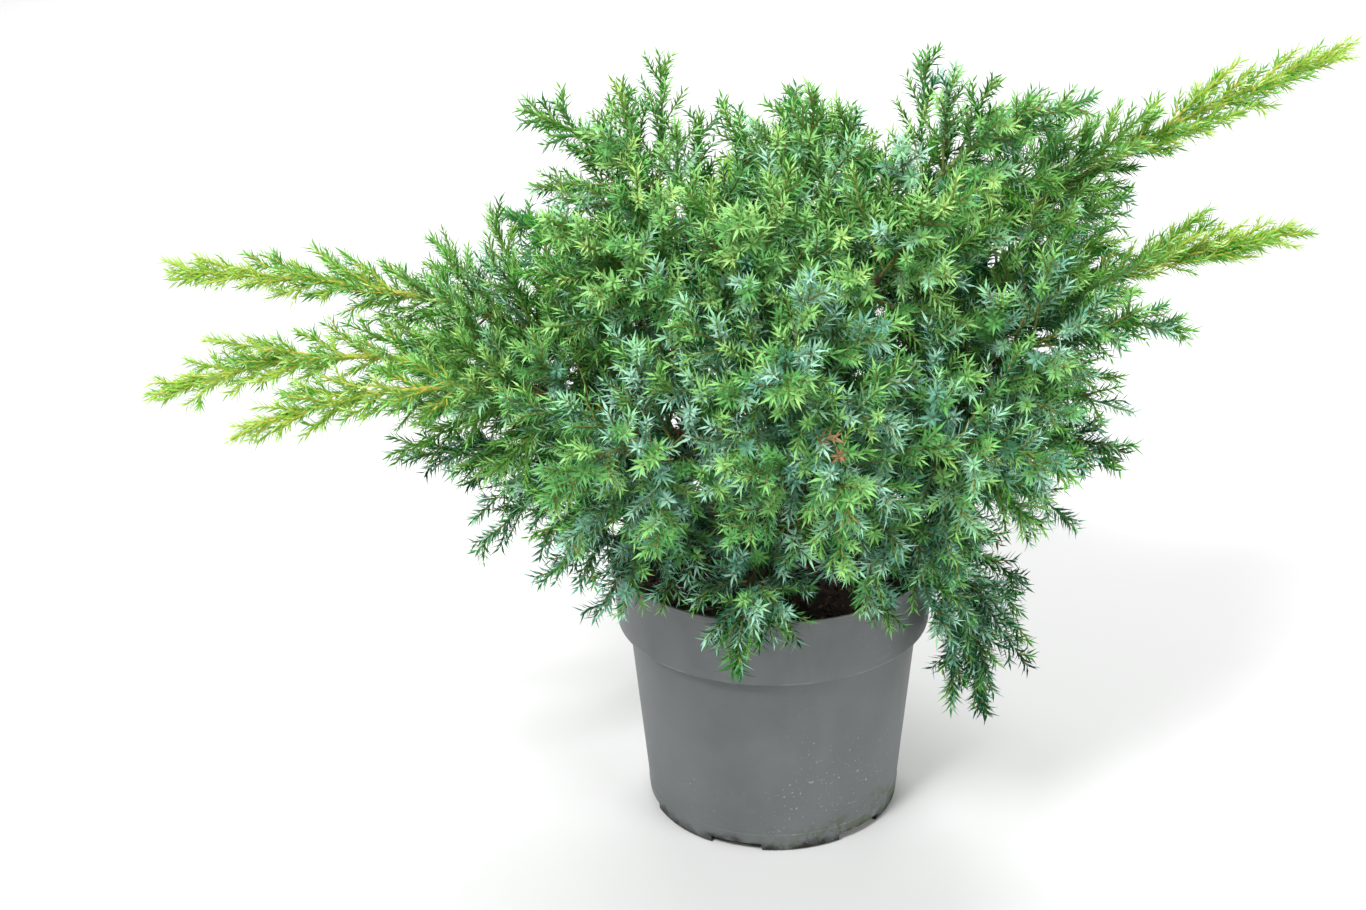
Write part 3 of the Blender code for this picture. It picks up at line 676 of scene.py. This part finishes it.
def make_chip():
    """A flat splinter of bark with broken corners."""
    rng = random.Random(5)
    made = bmesh.new()
    bmesh.ops.create_icosphere(made, subdivisions=1, radius=1.0)
    for vert in made.verts:
        vert.co *= rng.uniform(0.75, 1.25)
        vert.co.y *= 0.55
        vert.co.z *= 0.24
    mesh = bpy.data.meshes.new("bark_chip")
    made.to_mesh(mesh)
    made.free()
    return add_object("bark_chip", mesh)


def make_chips(soil):
    """Three colours of bark chips, strewn on the top of the compost."""
    chip = make_chip()
    tree = chip_tree()
    top = bmesh.new()
    top.from_mesh(soil.data)
    low = [f for f in top.faces if f.normal.z < 0.3 or f.calc_center_median().z < GROUND - SOIL_SAG - 0.002]
    bmesh.ops.delete(top, geom=low, context="FACES")
    colours = (((0.030, 0.015, 0.008), 0.5), ((0.110, 0.052, 0.024), 0.32), ((0.24, 0.15, 0.085), 0.18))
    pieces = []
    for number, (colour, share) in enumerate(colours):
        mesh = bpy.data.meshes.new("chips")
        top.to_mesh(mesh)
        piece = add_object(f"bark_chips_{number}", mesh)
        grown(
            piece,
            tree,
            {
                "Chip": chip,
                "Density": CHIPS_PER_AREA * share,
                "Least": CHIP * 0.25,
                "Most": CHIP,
                "Seed": 11 + number,
                "Skin": bark_material(f"chip_skin_{number}", tuple(c * 0.5 for c in colour), colour),
            },
        )
        pieces.append(piece)
    top.free()
    bpy.data.objects.remove(chip, do_unlink=True)
    return pieces


# Trunk and limbs, by the curves of the solids


def trunk_radius(height):
    share = (height - GROUND) / (TRUNK_TOP - GROUND)
    straight = TRUNK_RADIUS + (TRUNK_TIP_RADIUS - TRUNK_RADIUS) * share
    flare = max(0.0, 1.0 - (height - GROUND) / FLARE_HEIGHT)
    return straight + (FLARE_RADIUS - TRUNK_RADIUS) * flare * flare


def trunk_axis(height):
    share = (height - GROUND) / (TRUNK_TOP - GROUND)
    return Vector((TRUNK_LEAN * math.sin(share * math.pi / 2), -0.3 * TRUNK_LEAN * share, height))


def heading(azimuth, rise):
    flat = math.cos(math.radians(rise))
    around = math.radians(azimuth)
    return Vector((flat * math.cos(around), flat * math.sin(around), math.sin(math.radians(rise))))


def settings_of(limb):
    return TIERS[limb.tier]._replace(**limb.change)


def cubic(start, away, tip, arrive, pull):
    span = (tip - start).length
    bend = start + away * pull * span
    ease = tip - arrive * pull * span

    def path(share):
        left = 1.0 - share
        return (
            start * left**3
            + bend * (3 * left * left * share)
            + ease * (3 * left * share * share)
            + tip * share**3
        )

    return path


class Path:
    """A limb's centreline, called with a share of its length. Its frames keep one side level."""

    def __init__(self, curve, azimuth):
        self.points = [curve(i / PATH_STEPS) for i in range(PATH_STEPS + 1)]
        self.marks = [0.0]
        for a, b in zip(self.points, self.points[1:]):
            self.marks.append(self.marks[-1] + (b - a).length)
        self.length = self.marks[-1]
        self.level = heading(azimuth + 90.0, 0)

    def __call__(self, share):
        place = min(max(share, 0.0), 1.0) * self.length
        i = next(i for i in range(PATH_STEPS) if place <= self.marks[i + 1])
        between = (place - self.marks[i]) / (self.marks[i + 1] - self.marks[i])
        return self.points[i].lerp(self.points[i + 1], between)

    def frame(self, share):
        near = min(max(share, 0.01), 0.99)
        forward = (self(near + 0.01) - self(near - 0.01)).normalized()
        side = (self.level - forward * self.level.dot(forward)).normalized()
        return self(share), forward, side, forward.cross(side)


def limb_path(limb):
    """The limb's centreline from the trunk to the tip."""
    form = settings_of(limb)
    tip = heading(limb.azimuth, 0) * limb.reach
    tip.z = limb.height
    arrive = heading(limb.azimuth, form.end)
    if form.bare == 0.0:
        start = trunk_axis(TRUNK_TOP)
        return Path(cubic(start, Vector((0, 0, 1)), tip, arrive, form.pull), limb.azimuth)
    away = heading(limb.azimuth, form.rise)
    start = trunk_axis(form.leave) + heading(limb.azimuth, 0) * (trunk_radius(form.leave) + BOUGH_RADIUS * 0.4)
    return Path(cubic(start, away, tip, arrive, form.pull), limb.azimuth)


def stations(path, first, last, count):
    return [path(first + (last - first) * i / (count - 1)) for i in range(count)]


def limb_mesh(points, radii, sides, depth, seed):
    """A closed round limb through the points, with ridges of bark that run along it."""
    rings = []
    around = Vector((0.3, 0.9, 0.1))
    vertices = []
    travelled = 0.0
    for i, (point, radius) in enumerate(zip(points, radii)):
        before = points[max(i - 1, 0)]
        after = points[min(i + 1, len(points) - 1)]
        forward = (after - before).normalized()
        around = (around - forward * around.dot(forward)).normalized()
        across = forward.cross(around)
        travelled += (point - before).length
        ring = []
        for number in range(sides):
            angle = math.tau * number / sides
            out = around * math.cos(angle) + across * math.sin(angle)
            where = Vector((math.cos(angle) * 2.6, math.sin(angle) * 2.6, travelled * 70.0 + seed))
            fine = Vector((math.cos(angle) * 6.0, math.sin(angle) * 6.0, travelled * 190.0 - seed))
            ridge = noise.noise(where) * 0.7 + noise.noise(fine) * 0.45
            ring.append(len(vertices))
            vertices.append(point + out * (radius + depth * ridge))
        rings.append(ring)
    faces = [
        (a[k], a[(k + 1) % sides], b[(k + 1) % sides], b[k]) for a, b in zip(rings, rings[1:]) for k in range(sides)
    ]
    faces += [tuple(reversed(rings[0])), tuple(rings[-1])]
    return vertices, faces


def joined_limbs(name, parts, material):
    """Several limbs as one piece."""
    vertices, faces = [], []
    for part_vertices, part_faces in parts:
        start = len(vertices)
        vertices += part_vertices
        faces += [tuple(start + v for v in face) for face in part_faces]
    mesh = bpy.data.meshes.new(name)
    mesh.from_pydata(vertices, [], faces)
    mesh.shade_smooth()
    work = bmesh.new()
    work.from_mesh(mesh)
    bmesh.ops.recalc_face_normals(work, faces=work.faces)
    work.to_mesh(mesh)
    work.free()
    return add_object(name, mesh, material)


def make_trunk(material):
    """The trunk with its root flare, lobed at the foot, and bark in long ridges."""
    count = 90
    foot = GROUND - 0.004
    heights = [foot + (TRUNK_TOP - foot) * (i / (count - 1)) for i in range(count)]
    points = [trunk_axis(max(height, GROUND)) for height in heights]
    for point, height in zip(points, heights):
        point.z = height
    radii = [trunk_radius(max(height, GROUND)) - 0.0004 for height in heights]
    radii[-1] *= 0.6
    return joined_limbs("trunk_bark", [limb_mesh(points, radii, 40, 0.0011, 3.0)], material)


def make_boughs(material):
    parts = []
    for number, limb in enumerate(LIMBS.values()):
        form = settings_of(limb)
        if not form.bare:
            continue
        path = limb_path(limb)
        inner = trunk_axis(form.leave)
        points = [inner] + stations(path, 0.0, form.bare + 0.03, 26)
        ends = np.linspace(BOUGH_RADIUS, BOUGH_TIP_RADIUS * 0.96, 26)
        parts.append(limb_mesh(points, [BOUGH_RADIUS * 1.1, *ends], 12, 0.0004, number * 7.0))
    return joined_limbs("bough_bark", parts, material)


# Foliage

Shoot = namedtuple("Shoot", "points wide tall tint")
Twig = namedtuple("Twig", "points thick_from thick_to wood")


def in_pot(point, near):
    radius = math.hypot(point.x, point.y)
    below_ground = radius < RIM_RADIUS + near and point.z < GROUND + near
    at_wall = abs(radius - RIM_RADIUS + WALL) < WALL + near and point.z < POT_HEIGHT + near
    return below_ground or at_wall


def bent(start, direction, length, bend, count):
    shares = [i / (count - 1) for i in range(count)]
    return [start + direction * (length * s) + bend * (length * s * s) for s in shares]


def swell_at(share, first, form):
    """How far the dense part of a mass swells at a share of its limb."""
    inner = first + 0.02
    place = (share - inner) / (form.core_end - inner) * (len(CORE_SWELL) - 0.5)
    if place <= 0.0:
        return CORE_SWELL[0] * 0.6
    if place >= len(CORE_SWELL) - 0.5:
        return 0.0
    marks = [-0.5, *range(len(CORE_SWELL)), len(CORE_SWELL) - 0.5]
    return float(np.interp(place, marks, [CORE_SWELL[0] * 0.6, *CORE_SWELL, 0.0]))


def tint_for(youth, tip, rng):
    """A tint by how young the growth is, with some to either side of it."""
    if any((tip - middle).length < radius for middle, radius in DEAD_SPOTS):
        return "dead" if rng.random() < 0.6 else "green"
    youth += rng.uniform(-0.13, 0.13)
    if youth < 0.26:
        return rng.choice(("deep", "blue", "blue", "silver", "green"))
    if youth < 0.42:
        return rng.choice(("blue", "silver", "mint", "green", "green"))
    if youth < 0.60:
        return rng.choice(("green", "mint", "fresh", "fresh"))
    if youth < 0.74:
        return rng.choice(("fresh", "bright", "bright"))
    return rng.choice(("bright", "yellow_green", "yellow_green", "lime"))


class Crown:
    """All the shoots and twigs of the plant."""

    def __init__(self):
        self.shoots = []
        self.twigs = []

    def needles(self, points, lean, size, tint):
        angle = math.radians(lean)
        wide = size * math.sin(angle) / math.sin(math.radians(45))
        tall = size * math.cos(angle) / math.cos(math.radians(45))
        self.shoots.append(Shoot(points, wide, tall, tint))

    def leafy(self, points, lean, size, tint, rng, bare=0):
        """Needles along a shoot from a point on, the outer part often of younger growth."""
        points = points[bare:]
        if len(points) < 2:
            return
        split = max(1, round(len(points) * 0.55))
        if rng.random() < 0.6 and len(points) > 2:
            self.needles(points[: split + 1], lean, size, tint)
            self.needles(points[split:], lean * 0.85, size * 0.95, YOUNGER[tint])
        else:
            self.needles(points, lean, size, tint)

    def grow(self, name, limb):
        form = settings_of(limb)
        path = limb_path(limb)
        rng = random.Random(sum(map(ord, name)))
        first = form.bare
        innermost = (first + form.core_end) / 2
        long_tier = limb.tier == "long"
        outdoors = form.core_end - (0.04 if long_tier else 0.12)

        def youth_at(share):
            if long_tier:
                return YOUTH["long"] + 0.95 * max(0.0, share - 0.26)
            return YOUTH[limb.tier] + 0.42 * max(0.0, share - 0.35) + 0.10

        count = 30
        stem = stations(path, first, 1.0, count)
        wood = "young" if long_tier else "green"
        middle = round(count * 0.45)
        slender = STEM_RADIUS + (STEM_TIP_RADIUS - STEM_RADIUS) * 0.45
        self.twigs.append(Twig(stem[: middle + 1], STEM_RADIUS, slender, "old"))
        self.twigs.append(Twig(stem[middle:], slender, STEM_TIP_RADIUS, wood))
        # The needles on the stem inside the crown take the deep tint: old growth, darkened further as painted shade
        self.needles(stations(path, first + 0.03, outdoors, 8), INNER_LEAN, 1.0, "deep")
        covered = stations(path, outdoors, 1.0, 14)
        self.leafy(covered, STEM_LEAN[long_tier], 1.0, tint_for(youth_at(0.9), covered[-1], rng), rng)

        turn = rng.uniform(0, math.tau)
        share = first + 0.01
        while share < 0.985:
            turn += GOLDEN_ANGLE
            inward = min(1.0, max(0.0, (OUTERMOST - share) / (OUTERMOST - innermost)))
            here, forward, side, up = path.frame(share)
            out = side * math.cos(turn) + up * math.sin(turn)
            narrow = 16.0 * (1.0 - inward) if long_tier else 0.0
            spread = math.radians(form.spread - narrow + 24 * inward + rng.uniform(-8, 8))
            direction = (forward * math.cos(spread) + out * math.sin(spread)).normalized()
            core = form.core * swell_at(share, first, form)
            beyond = form.twig * (0.50 + 0.45 * inward) * rng.uniform(0.70, 1.12)
            if share > OUTERMOST:
                beyond *= 0.45 + 0.55 * (1.0 - share) / (1.0 - OUTERMOST)
            length = min(core / math.sin(spread) + beyond, LONGEST_BRANCH) * (1.0 - TAPER.get(name, 0.0) * share)
            if long_tier and 0.30 < share < 0.80 and rng.random() < 0.12:
                spread = math.radians(rng.uniform(14, 20))
                direction = (forward * math.cos(spread) + out * math.sin(spread)).normalized()
                length = rng.uniform(0.055, 0.078) * min(1.0, (1.05 - share) * 2.2)
            bend = forward * 0.20 + Vector((0, 0, DROOP.get(name, LIFT[limb.tier])))
            self.branch(here, direction, length, bend, youth_at(share), long_tier, rng)
            step = BRANCH_STEP * CLOSER.get(name, 0.86 if long_tier else 1.0)
            share += step / path.length * rng.uniform(0.8, 1.2)

    def branch(self, start, direction, length, bend, youth, long_tier, rng):
        """A side branch with its finer shoots. One that would meet the pot is shortened, or left out."""
        for _ in range(3):
            points = bent(start, direction, length, bend, 7)
            if not any(in_pot(point, BRANCH_CLEAR) for point in points):
                break
            length *= 0.62
        else:
            return
        grown_youth = youth + 0.10 * length / 0.05
        tint = tint_for(grown_youth, points[-1], rng)
        bare = 2 if length > 0.035 else 1 if length > 0.02 else 0
        lean = SHOOT_LEAN[long_tier]
        self.leafy(points, lean, rng.uniform(0.85, 1.05), tint, rng, bare)
        wood = "young" if youth > 0.55 else "green"
        self.twigs.append(Twig(points, *BRANCH_TWIG, wood))
        if length < 0.013:
            return
        turn = rng.uniform(0, math.tau)
        place = max(0.006, length * 0.22)
        while place < length - 0.004:
            turn += GOLDEN_ANGLE
            share = place / length
            here = start + direction * place + bend * (length * share * share)
            forward = (direction + bend * (2 * share)).normalized()
            side = forward.orthogonal().normalized()
            out = side * math.cos(turn) + forward.cross(side) * math.sin(turn)
            spread = math.radians(SHOOT_SPREAD + rng.uniform(-10, 10))
            away = (forward * math.cos(spread) + out * math.sin(spread)).normalized()
            reach = min(SHOOT_MOST, SHOOT_LEAST + 0.34 * (length - place)) * rng.uniform(0.7, 1.15)
            if youth > 0.50:
                reach *= 0.50
            fine = bent(here, away, reach, forward * 0.25 + Vector((0, 0, 0.04)), 4)
            if not any(in_pot(point, SHOOT_CLEAR) for point in fine):
                tint = tint_for(grown_youth + 0.06 * (share - 0.5), fine[-1], rng)
                self.leafy(fine, lean, rng.uniform(0.75, 1.0), tint, rng)
                self.twigs.append(Twig([fine[0], fine[-1]], *SHOOT_TWIG, wood))
            place += SHOOT_STEP * rng.uniform(0.8, 1.25)


def make_whorl():
    """Three needles at 45 degrees round a twig: closed lances, pale on their inner side and green below."""
    vertices, faces = [], []
    out = Vector((1, 0, 1)).normalized()
    above = Vector((-1, 0, 1)).normalized()
    half = Vector((0, NEEDLE_WIDTH / 2, 0))
    base = Vector((0.0004, 0, 0))
    middle = base + out * (NEEDLE_LENGTH * NEEDLE_WIDEST) + above * NEEDLE_KEEL
    for number in range(3):
        turn = Matrix.Rotation(math.tau * number / 3, 3, "Z")
        root = len(vertices)
        tip, left, right = root + 1, root + 2, root + 3
        vertices += [turn @ corner for corner in (base, base + out * NEEDLE_LENGTH, middle + half, middle - half)]
        faces += [(root, right, left), (tip, left, right), (root, left, tip), (root, tip, right)]
    mesh = bpy.data.meshes.new("whorl")
    mesh.from_pydata(vertices, [], faces)
    set_attribute(mesh, "inner", "BOOLEAN", "FACE", [i % 4 < 2 for i in range(len(faces))])
    return add_object("whorl", mesh)


def line_mesh(name, lines, attributes):
    """Loose lines as one mesh, with a number at each point for each attribute."""
    vertices = [point for line in lines for point in line]
    edges = []
    start = 0
    for line in lines:
        edges += [(start + i, start + i + 1) for i in range(len(line) - 1)]
        start += len(line)
    mesh = bpy.data.meshes.new(name)
    mesh.from_pydata(vertices, edges, [])
    for title, values in attributes.items():
        set_attribute(mesh, title, "FLOAT", "POINT", values)
    return mesh


def length_of(points):
    return sum((b - a).length for a, b in zip(points, points[1:]))


def make_needles(shoots):
    """The needles, a piece or more for each tint, each short of the most triangles that a piece may have."""
    whorl = make_whorl()
    tree = needle_tree()
    pieces = []
    for order, (tint, (outer, inner)) in enumerate(TINTS.items()):
        outer_skin = plain_material(f"needle_{tint}", outer, 0.46)
        inner_skin = plain_material(f"needle_{tint}_pale", inner, 0.60)
        batches = [[]]
        room = MOST_TRIANGLES
        for shoot in (s for s in shoots if s.tint == tint):
            cost = WHORL_TRIANGLES * (length_of(shoot.points) / WHORL_STEP + 2)
            if cost > room:
                batches.append([])
                room = MOST_TRIANGLES
            room -= cost
            batches[-1].append(shoot)
        for number, batch in enumerate(batches):
            if not batch:
                continue
            lines = [shoot.points for shoot in batch]
            wide = [shoot.wide for shoot in batch for _ in shoot.points]
            tall = [shoot.tall for shoot in batch for _ in shoot.points]
            piece = add_object(f"needles_{tint}_{number}", line_mesh(tint, lines, {"wide": wide, "tall": tall}))
            grown(
                piece,
                tree,
                {
                    "Whorl": whorl,
                    "Step": WHORL_STEP,
                    "Turn": math.radians(60.0),
                    "Seed": 20 + order * 4 + number,
                    "Outer": outer_skin,
                    "Inner": inner_skin,
                },
            )
            pieces.append(piece)
    bpy.data.objects.remove(whorl, do_unlink=True)
    return pieces


def make_twigs(twigs):
    tree = twig_tree()
    woods = {
        "old": ((0.150, 0.085, 0.045), 6),
        "green": ((0.260, 0.280, 0.090), 3),
        "young": ((0.560, 0.500, 0.100), 5),
    }
    pieces = []
    for wood, (colour, sides) in woods.items():
        lines = [twig.points for twig in twigs if twig.wood == wood]
        thick = [
            thickness
            for twig in twigs
            if twig.wood == wood
            for thickness in np.linspace(twig.thick_from, twig.thick_to, len(twig.points))
        ]
        piece = add_object(f"twigs_{wood}", line_mesh(wood, lines, {"thick": thick}))
        skin = plain_material(f"twig_{wood}", colour, 0.62)
        grown(piece, tree, {"Sides": sides, "Wood": skin})
        piece.data.shade_smooth()
        pieces.append(piece)
    return pieces


# Studio

# Where each light stands, what it looks at, its size and its power
LIGHTS = {
    "key": ((-1.0, -1.5, 2.2), (0, 0, 0.2), 0.7, 70.0),
    "fill": ((1.8, -1.4, 1.2), (0, 0, 0.2), 1.4, 24.0),
    "top": ((0.3, 0.7, 2.4), (0, 0, 0.2), 1.2, 26.0),
    "backdrop": ((0, 3.2, 2.6), (0, 2.6, 0), 3.0, 120.0),
}
CAMERA_PLACE = (0.0, -0.994, 0.626)
CAMERA_TILT = 67.39
LENS = 50.86
SHIFT = -0.066
FLOOR_HALF = 9.0
FLOOR_DROP = 0.0004
SURROUND = 0.26


def aimed(obj, place, target):
    obj.location = place
    obj.rotation_euler = (Vector(target) - Vector(place)).to_track_quat("-Z", "Y").to_euler()


def add_light(name, place, target, size, power):
    lamp = bpy.data.lights.new(name, "AREA")
    lamp.shape = "DISK"
    lamp.size = size
    lamp.energy = power
    obj = bpy.data.objects.new(name, lamp)
    bpy.context.scene.collection.objects.link(obj)
    aimed(obj, place, target)


def make_studio():
    mesh = bpy.data.meshes.new("studio_floor")
    work = bmesh.new()
    bmesh.ops.create_grid(work, x_segments=8, y_segments=8, size=FLOOR_HALF)
    work.to_mesh(mesh)
    work.free()
    floor = add_object("studio_floor", mesh, floor_material())
    floor.location.z = -FLOOR_DROP
    world = bpy.data.worlds.new("studio_light")
    world.use_nodes = True
    world.node_tree.nodes["Background"].inputs["Color"].default_value = (1.0, 1.0, 1.0, 1.0)
    world.node_tree.nodes["Background"].inputs["Strength"].default_value = SURROUND
    bpy.context.scene.world = world
    bpy.context.scene.view_settings.view_transform = "Standard"
    for name, row in LIGHTS.items():
        add_light(name, *row)

    camera = bpy.data.cameras.new("camera")
    camera.sensor_width = 36.0
    camera.lens = LENS
    camera.shift_x = SHIFT
    camera.clip_start = 0.01
    seen_from = bpy.data.objects.new("camera", camera)
    bpy.context.scene.collection.objects.link(seen_from)
    seen_from.location = CAMERA_PLACE
    seen_from.rotation_euler = (math.radians(CAMERA_TILT), 0.0, 0.0)
    bpy.context.scene.camera = seen_from


def main():
    bark = bark_material("bark", (0.055, 0.030, 0.018), (0.200, 0.110, 0.060))
    pot = make_pot(pot_plastic())
    soil = make_soil(soil_material())
    chips = make_chips(soil)
    trunk = make_trunk(bark)
    boughs = make_boughs(bark)
    crown = Crown()
    for name, limb in LIMBS.items():
        crown.grow(name, limb)
    needles = make_needles(crown.shoots)
    twigs = make_twigs(crown.twigs)

    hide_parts("pot")
    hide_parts("soil")
    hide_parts("trunk")
    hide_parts(*["bough_" + name for name, limb in LIMBS.items() if settings_of(limb).bare])
    for piece in needles:
        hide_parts(*["foliage_" + name for name in LIMBS])
    for piece in [pot, soil, *chips, trunk, boughs, *needles, *twigs]:
        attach(piece, "root")
    make_studio()


main()
